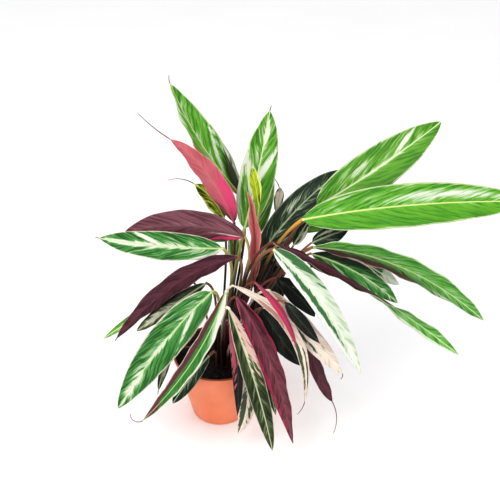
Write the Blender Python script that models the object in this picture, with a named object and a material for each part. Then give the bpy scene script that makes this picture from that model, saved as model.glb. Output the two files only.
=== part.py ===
"""Potted stromanthe.

A moulded nursery pot, the soil in it, and leaves that each grew as one piece with their stem.
The origin is the centre of the pot's flat foot and +Z is up. The plant turns its best side to -Y,
and +X is the right of that side. Values in capitals and in the leaf table are millimetres and
degrees, and are turned to metres where a mesh is made.
"""
import math
import random
from collections import namedtuple

import bpy
import bmesh
import numpy as np

MM = 0.001
CLEARANCE = 0.3
SHARP_ANGLE = 40

# Pot
POT_HEIGHT = 111
RIM_DIAMETER = 140
FOOT_DIAMETER = 86
POT_WALL = 1.8
POT_FLOOR = 2.4
FOOT_ROUNDING = 2.5
LIP_HEIGHT = 7
LIP_STEP = 0.9
LIP_ROUNDING = 0.8
POT_SIDES = 40
HUB_RADIUS = 8
DRAIN_HOLES = 6
DRAIN_DIAMETER = 9
DRAIN_RING_DIAMETER = 56
DRAIN_SIDES = 12

# Soil
SOIL_TOP = 98
SOIL_SHOULDER = 2
SOIL_RINGS = 5
SOIL_SIDES = 24
SOIL_LUMP = 1.2
SOIL_SEED = 7
ROOT_DEPTH = 10
HOLE_SIDES = 6

# Leaf stems: they rise straight from the soil for RISE and lean into the blade for REACH, both as
# shares of the way from foot to blade, and then give way to each other, less and less to their end
STEM_SIDES = 6
STEM_STEPS = 7
STEM_PATH_POINTS = 36
STEM_RISE = 1.1
STEM_REACH = 0.55
STEM_GAP = 2.0
STEM_END_FREEDOM = (0.6, 0.3, 0.1, 0.0)
STEM_SET_BACK = 2.0
CLEARING_ROUNDS = 120
CLEARING_STEP = 0.6
EVENING_STEP = 0.3
CROWN_SPREAD = 0.32
CROWN_FORWARD = 8
FEET_RADIUS = 46

# Leaf blades
BLADE_THICKNESS = 0.8
RIB_DEPTH = 1.4
TIP_HALF_WIDTH = 0.7
BASE_CURVE = 0.65
TIP_CURVE = 0.8
NARROW = 31
STATION = 19
FEWEST_STATIONS = 5
MOST_STATIONS = 12
TAIL_STEPS = 3
EDGE_WAVE = 1.6
WAVE_SPACING = 48
WAVE_OFFSET = 1.3
WAVE_FADE = 10
EDGE_ANGLE = 0.94
TURN_DELAY = 3
LIGHT = np.array((0.0, -0.82, 0.57))
ACROSS_WIDE = (-1.0, -0.5, 0.0, 0.5, 1.0)
ACROSS_NARROW = (-1.0, 0.0, 1.0)

# Blade forms: how round the outline is at the base and how full it stays toward the tip, how many
# degrees the left and right halves are raised from flat, and the stem's radius
Form = namedtuple("Form", "roundness fullness raise_left raise_right stem")
BROAD = Form(5.0, 3.7, 8, 8, 2.3)
OVAL = Form(3.4, 3.5, 8, 8, 1.9)
LANCE = Form(2.8, 2.4, 8, 8, 2.0)
SLENDER = Form(3.0, 3.0, 12, 12, 1.5)
SPEARHEAD = Form(4.5, 1.7, 8, 8, 2.0)
FOLDED_LEFT = Form(3.4, 2.3, 50, 5, 2.1)
CREASED_LEFT = Form(3.3, 3.0, 45, 10, 1.9)
FOLDED_RIGHT = Form(3.6, 3.5, 8, -20, 2.2)
CUPPED = Form(3.4, 4.0, 30, 30, 1.3)
ROLLED = Form(2.6, 2.6, 60, 60, 1.8)

# The colour that shows most on a leaf
GREEN = (0.12, 0.33, 0.06)
DARK_GREEN = (0.02, 0.05, 0.02)
LIME = (0.42, 0.55, 0.05)
CREAM = (0.72, 0.78, 0.52)
PINK = (0.60, 0.12, 0.18)
CRIMSON = (0.42, 0.03, 0.10)
MAROON = (0.10, 0.02, 0.04)

# One row per leaf, placed to the nearest 5 mm: where its blade begins, where the middle and the tip
# of its midrib are, how wide the blade is, its turn about the midrib away from facing the light at
# the base and at the tip, its form and colour, and the length of the thread at its tip with the
# degrees that the thread curls. The turn changes late, with the share of length to TURN_DELAY.
Leaf = namedtuple("Leaf", "name base middle tip width turn form colour tail", defaults=((0, 0),))
LEAVES = (
    Leaf("tall_left", (35, 45, 355), (-20, 55, 430), (-60, 60, 515),
         56, (15, 15), FOLDED_LEFT, GREEN, (12, 35)),
    Leaf("pink_upper_left", (25, 20, 325), (-10, 0, 410), (-55, -15, 465),
         36, (145, 145), SPEARHEAD, PINK, (58, -15)),
    Leaf("olive_left", (10, 40, 320), (-5, 40, 350), (-30, 40, 375),
         26, (10, 10), OVAL, LIME, (42, -50)),
    Leaf("purple_left", (40, -5, 315), (-40, -10, 335), (-125, -20, 330),
         46, (150, 150), OVAL, MAROON),
    Leaf("green_left", (10, -30, 310), (-75, -40, 320), (-155, -45, 335),
         41, (10, 10), BROAD, GREEN, (6, 0)),
    Leaf("maroon_left", (30, -35, 300), (-55, -60, 270), (-140, -75, 190),
         36, (135, 135), LANCE, MAROON, (6, 60)),
    Leaf("striped_left", (-15, -25, 250), (-65, -40, 220), (-115, -50, 185),
         26, (20, 20), OVAL, DARK_GREEN),
    Leaf("green_lower_left", (-5, -55, 255), (-75, -75, 180), (-145, -90, 75),
         52, (0, 0), BROAD, GREEN),
    Leaf("narrow_lower_left", (15, -70, 265), (-30, -95, 170), (-105, -115, 75),
         27, (-15, -15), CREASED_LEFT, GREEN, (28, 150)),
    Leaf("dark_by_pot", (-10, -75, 160), (-40, -80, 120), (-65, -85, 80),
         24, (0, 0), OVAL, DARK_GREEN),
    Leaf("small_striped_left", (-65, -35, 140), (-80, -45, 110), (-90, -50, 75),
         12, (0, 0), SLENDER, DARK_GREEN, (8, 0)),
    Leaf("tall_centre", (40, 20, 315), (60, 35, 400), (75, 50, 480),
         50, (10, 10), BROAD, GREEN, (8, 15)),
    Leaf("lime_new", (60, 5, 360), (55, 10, 390), (50, 10, 415),
         17, (0, 0), CUPPED, LIME),
    Leaf("pink_spike", (50, -10, 230), (55, -5, 310), (45, -5, 385),
         30, (0, 0), ROLLED, PINK),
    Leaf("dark_upper_right", (60, 10, 270), (115, 30, 340), (180, 45, 395),
         44, (-10, -10), BROAD, DARK_GREEN),
    Leaf("bright_upper_right", (140, 0, 360), (220, 5, 415), (300, 10, 480),
         60, (0, 0), BROAD, GREEN),
    Leaf("largest_right", (120, -20, 350), (265, -35, 380), (420, -45, 390),
         60, (0, 0), BROAD, GREEN),
    Leaf("dark_under_right", (135, -5, 305), (160, -10, 320), (185, -10, 330),
         26, (0, 0), SLENDER, DARK_GREEN),
    Leaf("dark_small_right", (110, 5, 295), (120, 5, 315), (130, 5, 335),
         16, (0, 0), SLENDER, DARK_GREEN),
    Leaf("green_drooping_right", (135, -35, 315), (255, -55, 295), (370, -80, 225),
         46, (45, 30), FOLDED_RIGHT, GREEN),
    Leaf("dark_green_right", (135, -10, 290), (200, -20, 265), (260, -30, 220),
         34, (25, 25), OVAL, GREEN),
    Leaf("pale_behind_right", (190, 10, 280), (230, 5, 255), (265, -5, 235),
         22, (10, 10), SLENDER, CREAM),
    Leaf("maroon_green_right", (80, -40, 325), (205, -70, 270), (335, -105, 185),
         36, (120, -20), OVAL, MAROON),
    Leaf("pale_right", (80, -50, 320), (140, -90, 270), (200, -120, 165),
         33, (0, 0), BROAD, CREAM),
    Leaf("dark_pink_edge", (125, -25, 290), (145, -35, 285), (165, -45, 275),
         14, (20, 20), SLENDER, DARK_GREEN),
    Leaf("cream_drape", (25, -55, 265), (105, -105, 225), (125, -120, 115),
         17, (30, -20), SLENDER, CREAM, (26, 40)),
    Leaf("crimson_strip", (55, -70, 280), (90, -105, 255), (110, -120, 210),
         11, (150, 150), SLENDER, CRIMSON),
    Leaf("cream_striped_right", (75, -60, 260), (125, -95, 215), (175, -115, 160),
         30, (10, 10), OVAL, CREAM, (10, 100)),
    Leaf("dark_maroon_right", (85, -35, 265), (115, -40, 240), (140, -50, 210),
         28, (0, 0), SLENDER, MAROON),
    Leaf("black_right", (95, -95, 265), (115, -110, 245), (140, -125, 220),
         18, (0, 0), SLENDER, DARK_GREEN),
    Leaf("maroon_hanging_right", (115, -80, 220), (145, -95, 145), (165, -110, 105),
         20, (160, 160), SLENDER, MAROON, (46, -60)),
    Leaf("black_front", (65, -45, 220), (85, -75, 200), (120, -85, 150),
         34, (0, 0), OVAL, DARK_GREEN),
    Leaf("crimson_hanging", (30, -70, 255), (75, -105, 175), (110, -125, 40),
         34, (155, 155), LANCE, CRIMSON),
    Leaf("striped_hanging_front", (20, -90, 250), (55, -130, 155), (80, -145, 45),
         28, (0, 0), OVAL, GREEN),
    Leaf("pink_hanging", (20, -85, 225), (30, -100, 160), (30, -105, 75),
         16, (0, 0), SLENDER, CRIMSON),
    Leaf("cream_hanging", (35, -80, 190), (45, -90, 100), (30, -95, 30),
         26, (0, 0), OVAL, CREAM),
    Leaf("olive_hanging", (50, -80, 220), (70, -100, 150), (85, -110, 80),
         17, (0, 0), SLENDER, GREEN),
    Leaf("grey_behind", (85, 40, 330), (90, 50, 350), (90, 50, 365),
         14, (0, 0), SLENDER, DARK_GREEN, (28, -30)),
    Leaf("small_behind_crown", (25, 30, 245), (25, 35, 275), (20, 35, 305),
         20, (0, 0), SLENDER, GREEN),
    Leaf("dark_inner", (95, 15, 195), (85, 20, 230), (75, 20, 265),
         24, (0, 0), SLENDER, DARK_GREEN),
    Leaf("back_centre", (55, 40, 290), (65, 80, 340), (75, 125, 375),
         38, (0, 0), BROAD, GREEN),
    Leaf("back_right", (80, 50, 275), (125, 85, 300), (160, 125, 325),
         40, (0, 0), BROAD, GREEN),
    Leaf("back_left", (20, 50, 280), (-35, 75, 290), (-90, 100, 275),
         40, (0, 0), BROAD, GREEN),
    Leaf("back_far_right", (120, 20, 310), (185, 50, 325), (265, 75, 325),
         36, (0, 0), BROAD, GREEN),
    Leaf("green_tip_left", (-40, -25, 255), (-105, -40, 212), (-165, -50, 170),
         16, (20, 20), SLENDER, GREEN),
    Leaf("dark_behind_pale", (110, -35, 280), (130, -45, 270), (150, -55, 245),
         18, (0, 0), SLENDER, DARK_GREEN),
    Leaf("back_low", (60, 40, 180), (85, 65, 225), (105, 95, 250),
         44, (0, 0), BROAD, DARK_GREEN),
)


def unit(vectors):
    """Vectors scaled to length one, along their last axis."""
    return vectors / np.linalg.norm(vectors, axis=-1, keepdims=True)


def midrib(leaf, steps):
    """Points of the curve through the leaf's base, middle and tip, with their directions."""
    base, middle, tip = (np.array(point, float) for point in (leaf.base, leaf.middle, leaf.tip))
    bend = 2 * middle - (base + tip) / 2
    t = np.asarray(steps, float)[:, None]
    points = (1 - t) ** 2 * base + 2 * t * (1 - t) * bend + t ** 2 * tip
    directions = unit((1 - t) * (bend - base) + t * (tip - bend))
    return points, directions


def blade_length(leaf):
    """Length of the midrib."""
    points, _ = midrib(leaf, np.linspace(0, 1, 20))
    return float(np.linalg.norm(np.diff(points, axis=0), axis=1).sum())


def outline(form, t):
    """Relative width at a share t of the length: round at the base, drawn in to the tip."""
    round_base = (1 - (1 - t) ** form.roundness) ** BASE_CURVE
    drawn_tip = (1 - t ** form.fullness) ** TIP_CURVE
    return round_base * drawn_tip


def half_width(leaf, t):
    """Half the blade's width at a share t of its length."""
    widest = outline(leaf.form, np.linspace(0, 1, 50)).max()
    return np.maximum(leaf.width / 2 * outline(leaf.form, t) / widest, TIP_HALF_WIDTH)


def spine(leaf, t, tail_steps):
    """Midrib points with their directions, the blade's normals and its half width, tail included."""
    points, directions = midrib(leaf, t)
    facing = unit(LIGHT - directions * (directions @ LIGHT)[:, None])
    right = np.cross(directions, facing)
    turn = np.radians(leaf.turn[0] + (leaf.turn[1] - leaf.turn[0]) * t ** TURN_DELAY)[:, None]
    normals = facing * np.cos(turn) + right * np.sin(turn)
    halves = half_width(leaf, t)
    length, curl = leaf.tail
    if not length:
        return points, directions, normals, halves
    side = np.cross(directions[-1], normals[-1])
    places = []
    headings = []
    place = points[-1]
    for k in range(tail_steps):
        angle = math.radians(curl) * (k + 0.5) / tail_steps
        heading = directions[-1] * math.cos(angle) + side * math.sin(angle)
        place = place + heading * length / tail_steps
        places.append(place)
        headings.append(heading)
    points = np.vstack([points, places])
    directions = np.vstack([directions, headings])
    normals = np.vstack([normals, np.repeat(normals[-1:], tail_steps, axis=0)])
    halves = np.append(halves, np.full(tail_steps, TIP_HALF_WIDTH))
    return points, directions, normals, halves


def blade_surface(leaf, t, across, tail_steps):
    """Middle surface of the blade, its normals, its midrib's directions and the way to its right."""
    points, directions, normal, half = spine(leaf, t, tail_steps)
    right = np.cross(directions, normal)
    half = half[:, None]
    waves = max(2, round(blade_length(leaf) / WAVE_SPACING))
    share = np.append(t, np.ones(len(points) - len(t)))
    surface = []
    normals = []
    for v in across:
        side = math.copysign(1, v) if v else 0
        lift = math.radians(leaf.form.raise_right if v > 0 else leaf.form.raise_left) * abs(side)
        outward = right * side * math.cos(lift) + normal * math.sin(lift)
        local_normal = normal * math.cos(lift) - right * side * math.sin(lift)
        swing = np.sin(2 * math.pi * waves * share + side * WAVE_OFFSET + leaf.width)[:, None]
        ripple = EDGE_WAVE * v * v * swing * np.clip((half - TIP_HALF_WIDTH) / WAVE_FADE, 0, 1)
        surface.append(points + outward * abs(v) * half + local_normal * ripple)
        normals.append(local_normal)
    return np.stack(surface, 1), np.stack(normals, 1), directions, right


def stem_path(leaf, foot):
    """Points from the foot of the stem, straight up out of the soil, round into the blade's base."""
    base, first = midrib(leaf, [0.0])
    span = float(np.linalg.norm(base[0] - foot))
    rise = np.array((0.0, 0.0, 1.0)) * span * STEM_RISE
    reach = first[0] * span * STEM_REACH
    t = np.linspace(0, 1, STEM_PATH_POINTS)[:, None]
    return ((2 * t ** 3 - 3 * t ** 2 + 1) * foot + (t ** 3 - 2 * t ** 2 + t) * rise
            + (3 * t ** 2 - 2 * t ** 3) * base[0] + (t ** 3 - t ** 2) * reach)


def stem_foot(leaf):
    """Where the stem leaves the soil: under its blade's base, drawn in to the middle of the pot."""
    x = leaf.base[0] * CROWN_SPREAD
    y = leaf.base[1] * CROWN_SPREAD + CROWN_FORWARD
    shrink = min(1, FEET_RADIUS / math.hypot(x, y))
    return np.array((x * shrink, y * shrink, SOIL_TOP))


def clear_stems(leaves):
    """Stem paths bent clear of each other, with their ends at the blades kept."""
    paths = np.stack([stem_path(leaf, stem_foot(leaf)) for leaf in leaves])
    count, length, _ = paths.shape
    radius = np.repeat([leaf.form.stem for leaf in leaves], length)
    owner = np.repeat(np.arange(count), length)
    wanted = radius[:, None] + radius[None, :] + STEM_GAP
    others = owner[:, None] != owner[None, :]
    freedom = np.ones(length)
    freedom[-len(STEM_END_FREEDOM):] = STEM_END_FREEDOM
    for _ in range(CLEARING_ROUNDS):
        points = paths.reshape(-1, 3)
        away = points[:, None, :] - points[None, :, :]
        distance = np.linalg.norm(away, axis=2) + 1e-6
        lack = np.where(others, np.maximum(wanted - distance, 0), 0)
        push = (away * (lack / distance / 2)[..., None]).sum(1).reshape(count, length, 3)
        push[:, :3, 2] = 0
        paths = paths + push * freedom[None, :, None] * CLEARING_STEP
        evened = (paths[:, :-2] + paths[:, 2:]) / 2
        paths[:, 1:-1] += (evened - paths[:, 1:-1]) * EVENING_STEP * freedom[None, 1:-1, None]
        paths[:, 0, :2] = paths[:, 1, :2] = (paths[:, 0, :2] + paths[:, 1, :2]) / 2
        paths[:, 0, 2] = SOIL_TOP
        reach = np.linalg.norm(paths[:, :2, :2], axis=2, keepdims=True)
        paths[:, :2, :2] *= np.minimum(1, FEET_RADIUS / reach)
    return paths


def ring_frames(points, last_direction, last_right):
    """Right-hand directions carried back along a path without twist, from its last point."""
    tangents = np.gradient(points, axis=0)
    tangents[-1] = last_direction
    tangents = unit(tangents)
    rights = [last_right]
    for tangent in tangents[-2::-1]:
        right = rights[-1] - tangent * (rights[-1] @ tangent)
        rights.append(right / np.linalg.norm(right))
    return tangents, np.array(rights[::-1])


def stem_rings(leaf, path, first_direction, first_right):
    """Rings of points round the stem, from its root in the soil to the blade's base."""
    picks = np.round(np.linspace(0, len(path) - 1, STEM_STEPS + 1)).astype(int)
    points = path[picks].copy()
    points[-1] -= first_direction * STEM_SET_BACK
    root = points[0] - np.array((0, 0, ROOT_DEPTH))
    points = np.vstack([root, points])
    tangents, rights = ring_frames(points, first_direction, first_right)
    tangents[:2] = (0, 0, 1)
    angles = np.arange(STEM_SIDES) * 2 * math.pi / STEM_SIDES
    radius = leaf.form.stem
    rings = []
    for point, tangent, right in zip(points, tangents, rights):
        right = unit(right - tangent * (right @ tangent))
        normal = np.cross(right, tangent)
        rings.append([point + radius * (right * math.cos(a) + normal * math.sin(a)) for a in angles])
    return np.array(rings)


def zip_rings(lower, upper, first_lower, first_upper, lower_angles, upper_angles):
    """Triangles between two rings of unlike counts, paired by their angle round the stem."""
    faces = []
    i = j = 0
    while i < lower or j < upper:
        next_lower = lower_angles[i + 1] if i < lower else math.inf
        next_upper = upper_angles[j + 1] if j < upper else math.inf
        a = first_lower + i % lower
        b = first_upper + j % upper
        if next_lower <= next_upper:
            faces.append((a, first_lower + (i + 1) % lower, b))
            i += 1
        else:
            faces.append((a, first_upper + (j + 1) % upper, b))
            j += 1
    return faces


def stem_faces(rings):
    """Triangles of the stem's wall and of the flat end of its root."""
    faces = [tuple(range(STEM_SIDES))[::-1]]
    for k in range(rings - 1):
        for i in range(STEM_SIDES):
            a = k * STEM_SIDES + i
            b = k * STEM_SIDES + (i + 1) % STEM_SIDES
            faces.append((a, b, b + STEM_SIDES))
            faces.append((a, b + STEM_SIDES, a + STEM_SIDES))
    return faces


def blade_faces(start, stations, ring):
    """Triangles of the blade, split alike on its upper and lower face, and of its end."""
    faces = []
    for k in range(stations):
        for i in range(ring):
            a = start + k * ring + i
            b = start + k * ring + (i + 1) % ring
            if i < ring // 2:
                faces.append((a, b, b + ring))
                faces.append((a, b + ring, a + ring))
            else:
                faces.append((a, b, a + ring))
                faces.append((b, b + ring, a + ring))
    last = start + stations * ring
    for i in range(ring // 2 - 1):
        a, b = last + i, last + i + 1
        c, d = last + ring - 2 - i, last + ring - 1 - i
        faces.append((a, b, c))
        faces.append((a, c, d))
    return faces


def leaf_mesh(leaf, path):
    """Vertices and triangles of one leaf: its stem and its blade in one closed skin."""
    across = ACROSS_WIDE if leaf.width > NARROW else ACROSS_NARROW
    half = len(across)
    count = int(np.clip(round(blade_length(leaf) / STATION), FEWEST_STATIONS, MOST_STATIONS))
    even = np.linspace(0, 1, count + 1)
    closer_at_ends = 0.5 - 0.5 * np.cos(math.pi * even)
    t = 0.6 * even + 0.4 * closer_at_ends
    surface, normals, directions, right = blade_surface(leaf, t, across, TAIL_STEPS)
    under = np.full(half, BLADE_THICKNESS / 2)
    under[half // 2] += RIB_DEPTH
    top = surface + normals * BLADE_THICKNESS / 2
    bottom = surface - normals * under[None, :, None]
    blade = np.concatenate([top[:, ::-1], bottom], axis=1)
    stem = stem_rings(leaf, path, directions[0], right[0])
    verts = np.concatenate([stem.reshape(-1, 3), blade.reshape(-1, 3)])
    start = len(stem) * STEM_SIDES
    stem_angles = [i * 2 * math.pi / STEM_SIDES for i in range(STEM_SIDES + 1)]
    side_angles = [i * math.pi / (half - 1) * EDGE_ANGLE for i in range(half)]
    blade_angles = side_angles + [math.pi + angle for angle in side_angles] + [2 * math.pi]
    faces = stem_faces(len(stem))
    faces += zip_rings(STEM_SIDES, 2 * half, start - STEM_SIDES, start, stem_angles, blade_angles)
    faces += blade_faces(start, len(surface) - 1, 2 * half)
    return verts, faces


def new_material(name, colour, roughness):
    """A Principled material with one colour and roughness."""
    material = bpy.data.materials.new(name)
    material.use_nodes = True
    shader = material.node_tree.nodes["Principled BSDF"]
    shader.inputs["Base Color"].default_value = (*colour, 1)
    shader.inputs["Roughness"].default_value = roughness
    return material


def add_object(name, verts, faces, material):
    """A mesh object from points in millimetres, with its faces pointing outward."""
    mesh = bpy.data.meshes.new(name)
    mesh.from_pydata([tuple(v) for v in np.asarray(verts, float) * MM], [], faces)
    mesh.materials.append(material)
    shape = bmesh.new()
    shape.from_mesh(mesh)
    bmesh.ops.recalc_face_normals(shape, faces=shape.faces[:])
    if shape.calc_volume(signed=True) < 0:
        bmesh.ops.reverse_faces(shape, faces=shape.faces[:])
    shape.to_mesh(mesh)
    shape.free()
    thing = bpy.data.objects.new(name, mesh)
    bpy.context.collection.objects.link(thing)
    return thing


def smooth(thing):
    """Shade rounded parts smooth and keep sharp corners sharp."""
    thing.data.shade_smooth()
    thing.data.set_sharp_from_angle(angle=math.radians(SHARP_ANGLE))


def circle(radius, height, sides):
    """Points of a level circle about Z."""
    angles = [2 * math.pi * k / sides for k in range(sides)]
    return [(radius * math.cos(a), radius * math.sin(a), height) for a in angles]


def rows_of_quads(rows, sides, first=0):
    """Four-sided faces between following circles of points."""
    faces = []
    for r in range(rows - 1):
        for k in range(sides):
            a = first + r * sides + k
            b = first + r * sides + (k + 1) % sides
            faces.append((a, b, b + sides, a + sides))
    return faces


def pot_radius(height):
    """Outer radius of the pot's tapered wall under its lip."""
    low = FOOT_DIAMETER / 2
    top = RIM_DIAMETER / 2 - LIP_STEP
    return low + (top - low) * height / POT_HEIGHT


def pot_inner_radius(height):
    """Inner radius of the pot's wall."""
    low = FOOT_DIAMETER / 2 - POT_WALL
    top = RIM_DIAMETER / 2 - POT_WALL - LIP_STEP
    return low + (top - low) * (height - POT_FLOOR) / (POT_HEIGHT - POT_FLOOR)


def cut(thing, cutter):
    """Cut one closed object out of another, and remove the cutter."""
    modifier = thing.modifiers.new("cut", "BOOLEAN")
    modifier.operation = "DIFFERENCE"
    modifier.solver = "EXACT"
    modifier.object = cutter
    depsgraph = bpy.context.evaluated_depsgraph_get()
    mesh = bpy.data.meshes.new_from_object(thing.evaluated_get(depsgraph))
    thing.modifiers.clear()
    thing.data = mesh
    bpy.data.objects.remove(cutter)


def rods(name, places, radii, bottom, top, sides, material):
    """One object of separate upright rods, used to cut holes."""
    verts = []
    faces = []
    for place, radius in zip(places, radii):
        start = len(verts)
        for height in (bottom, top):
            verts += [(place[0] + x, place[1] + y, z) for x, y, z in circle(radius, height, sides)]
        faces.append(tuple(range(start, start + sides))[::-1])
        faces.append(tuple(range(start + sides, start + 2 * sides)))
        faces += rows_of_quads(2, sides, start)
    return add_object(name, verts, faces, material)


def make_pot():
    """The pot's wall, lip and floor, turned as one skin, with drainage holes round the floor."""
    lip = POT_HEIGHT - LIP_HEIGHT
    rim = RIM_DIAMETER / 2
    profile = (
        (HUB_RADIUS, 0),
        (FOOT_DIAMETER / 2 - FOOT_ROUNDING, 0),
        (pot_radius(FOOT_ROUNDING), FOOT_ROUNDING),
        (pot_radius(lip), lip),
        (rim - LIP_ROUNDING / 2, lip + LIP_STEP),
        (rim, lip + LIP_STEP + LIP_ROUNDING),
        (rim, POT_HEIGHT - LIP_ROUNDING),
        (rim - LIP_ROUNDING, POT_HEIGHT),
        (rim - POT_WALL, POT_HEIGHT),
        (pot_inner_radius(POT_HEIGHT), POT_HEIGHT - LIP_ROUNDING),
        (pot_inner_radius(POT_FLOOR), POT_FLOOR),
        (HUB_RADIUS, POT_FLOOR),
    )
    verts = []
    for radius, height in profile:
        verts += circle(radius, height, POT_SIDES)
    faces = rows_of_quads(len(profile), POT_SIDES)
    faces.append(tuple(range(POT_SIDES)))
    faces.append(tuple(range(len(verts) - POT_SIDES, len(verts))))
    plastic = new_material("moulded_terracotta_plastic", (0.80, 0.20, 0.09), 0.45)
    pot = add_object("pot", verts, faces, plastic)
    drains = circle(DRAIN_RING_DIAMETER / 2, 0, DRAIN_HOLES)
    radii = [DRAIN_DIAMETER / 2] * DRAIN_HOLES
    cut(pot, rods("drains", drains, radii, -POT_FLOOR, 2 * POT_FLOOR, DRAIN_SIDES, plastic))
    smooth(pot)


def soil_radius(height):
    """How far the soil reaches at a height, clear of the pot's wall."""
    return pot_inner_radius(height) * math.cos(math.pi / POT_SIDES) - CLEARANCE


def make_soil(feet, radii):
    """The soil: a plug that fills the pot, lumpy on top, with a hole for every stem."""
    rng = random.Random(SOIL_SEED)
    floor = POT_FLOOR + CLEARANCE
    shoulder = SOIL_TOP - SOIL_SHOULDER
    verts = circle(soil_radius(floor), floor, SOIL_SIDES)
    verts += circle(soil_radius(shoulder), shoulder, SOIL_SIDES)
    top_radius = soil_radius(shoulder) - SOIL_SHOULDER / 2
    for k in range(SOIL_RINGS, 0, -1):
        for x, y, z in circle(top_radius * k / SOIL_RINGS, SOIL_TOP, SOIL_SIDES):
            verts.append((x, y, z + rng.uniform(-SOIL_LUMP, SOIL_LUMP)))
    faces = rows_of_quads(SOIL_RINGS + 2, SOIL_SIDES)
    faces.append(tuple(range(SOIL_SIDES)))
    last = len(verts) - SOIL_SIDES
    verts.append((0, 0, SOIL_TOP))
    faces += [(last + k, last + (k + 1) % SOIL_SIDES, len(verts) - 1) for k in range(SOIL_SIDES)]
    soil_mix = new_material("potting_soil", (0.012, 0.008, 0.006), 0.95)
    soil = add_object("soil", verts, faces, soil_mix)
    flats = bmesh.new()
    flats.from_mesh(soil.data)
    bmesh.ops.triangulate(flats, faces=flats.faces[:])
    flats.to_mesh(soil.data)
    flats.free()
    holes = [(radius + CLEARANCE) / math.cos(math.pi / HOLE_SIDES) for radius in radii]
    bottom = SOIL_TOP - ROOT_DEPTH - CLEARANCE
    top = SOIL_TOP + ROOT_DEPTH
    cut(soil, rods("stem_holes", feet, holes, bottom, top, HOLE_SIDES, soil_mix))


def make_leaves():
    """All leaves, each with its own material; returns the feet of their stems."""
    paths = clear_stems(LEAVES)
    for leaf, path in zip(LEAVES, paths):
        verts, faces = leaf_mesh(leaf, path)
        blade = new_material("leaf_" + leaf.name + "_surface", leaf.colour, 0.4)
        smooth(add_object("leaf_" + leaf.name, verts, faces, blade))
    return paths[:, 0, :2]


def main():
    """Clear the file, then build leaves, soil and pot."""
    for thing in list(bpy.data.objects):
        bpy.data.objects.remove(thing)
    feet = make_leaves()
    make_soil(feet, [leaf.form.stem for leaf in LEAVES])
    make_pot()


main()
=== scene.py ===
# %% [markdown]
# # Potted stromanthe: the looks
#
# The solid model of this plant is loaded as a fixed frame, and this script dresses it: fine waved
# leaves with their variegation, a smooth pot, crumbly soil, a floor, light and a camera. Everything
# is in metres in the model's own frame, with the pot's foot on the floor at the origin.

import math
import random
from collections import namedtuple

import bpy
import bmesh
import numpy as np
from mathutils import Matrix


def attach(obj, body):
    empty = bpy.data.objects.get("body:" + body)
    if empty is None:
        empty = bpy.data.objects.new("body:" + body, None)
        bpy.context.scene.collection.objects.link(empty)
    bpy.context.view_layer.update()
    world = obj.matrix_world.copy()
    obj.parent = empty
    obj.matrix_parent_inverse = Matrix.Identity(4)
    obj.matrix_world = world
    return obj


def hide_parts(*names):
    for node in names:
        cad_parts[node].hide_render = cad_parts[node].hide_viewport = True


MM = 0.001
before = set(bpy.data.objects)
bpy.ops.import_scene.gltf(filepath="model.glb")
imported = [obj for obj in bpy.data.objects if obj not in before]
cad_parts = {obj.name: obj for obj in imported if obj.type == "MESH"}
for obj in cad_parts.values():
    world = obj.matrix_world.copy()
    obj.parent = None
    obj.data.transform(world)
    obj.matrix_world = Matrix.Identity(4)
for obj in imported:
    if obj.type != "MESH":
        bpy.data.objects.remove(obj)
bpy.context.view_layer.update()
bpy.ops.object.select_all(action="DESELECT")

# %% [markdown]
# ## Tools
# Colours are written as they look on a screen (sRGB hex), and Blender calculates in linear light, so
# one function converts them. A second small function adds a shader node, sets it and links it. The
# next ones make an empty material, mix two colours by noise, and link colour and bump to the shader.
# The last two close a piece's skin, and hang a piece on the frame and hide the solid it stands for.

# %% Tools for colours, nodes and pieces
def linear(hex_colour, share=1.0):
    """A share of a screen colour such as 4F9A2D, as linear red, green, blue and alpha."""
    parts = [int(hex_colour[k:k + 2], 16) / 255 for k in (0, 2, 4)]
    light = [p / 12.92 if p <= 0.04045 else ((p + 0.055) / 1.055) ** 2.4 for p in parts]
    return tuple(share * p for p in light) + (1.0,)


def add(tree, kind, inputs=(), **settings):
    """Add a node, set it, and fill its inputs with values or links; returns its outputs."""
    node = tree.nodes.new("ShaderNode" + kind)
    for name, value in settings.items():
        setattr(node, name, value)
    for name, value in dict(inputs).items():
        if isinstance(value, bpy.types.NodeSocket):
            tree.links.new(value, node.inputs[name])
        else:
            node.inputs[name].default_value = value
    return node.outputs


def new_material(name, roughness, gloss=0.2):
    """A Principled material with its roughness and gloss set; returned with its node tree."""
    material = bpy.data.materials.new(name)
    material.use_nodes = True
    shader = material.node_tree.nodes["Principled BSDF"]
    shader.inputs["Roughness"].default_value = roughness
    shader.inputs["Specular IOR Level"].default_value = gloss
    return material, material.node_tree


def clouded(tree, scale, detail, reach, dark, light, roughness=0.5):
    """Two colours mixed by noise in space; returns the colour, the noise and the place."""
    where = add(tree, "TexCoord")[3]
    grain = {"Vector": where, "Scale": scale, "Detail": detail, "Roughness": roughness}
    noise = add(tree, "TexNoise", grain)[0]
    tone = add(tree, "MapRange", {0: noise, 1: reach[0], 2: reach[1]})[0]
    colour = add(tree, "Mix", {0: tone, 6: linear(dark), 7: linear(light)}, data_type="RGBA")[2]
    return colour, noise, where


def dress(material, colour, height=None, strength=0.0, depth=0.0):
    """Link a colour to a material's shader, and a bump with its depth in millimetres."""
    tree = material.node_tree
    shader = tree.nodes["Principled BSDF"]
    tree.links.new(colour, shader.inputs["Base Color"])
    if height:
        bump = add(tree, "Bump", {"Height": height, "Strength": strength, "Distance": depth * MM})[0]
        tree.links.new(bump, shader.inputs["Normal"])
    return material


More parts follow.
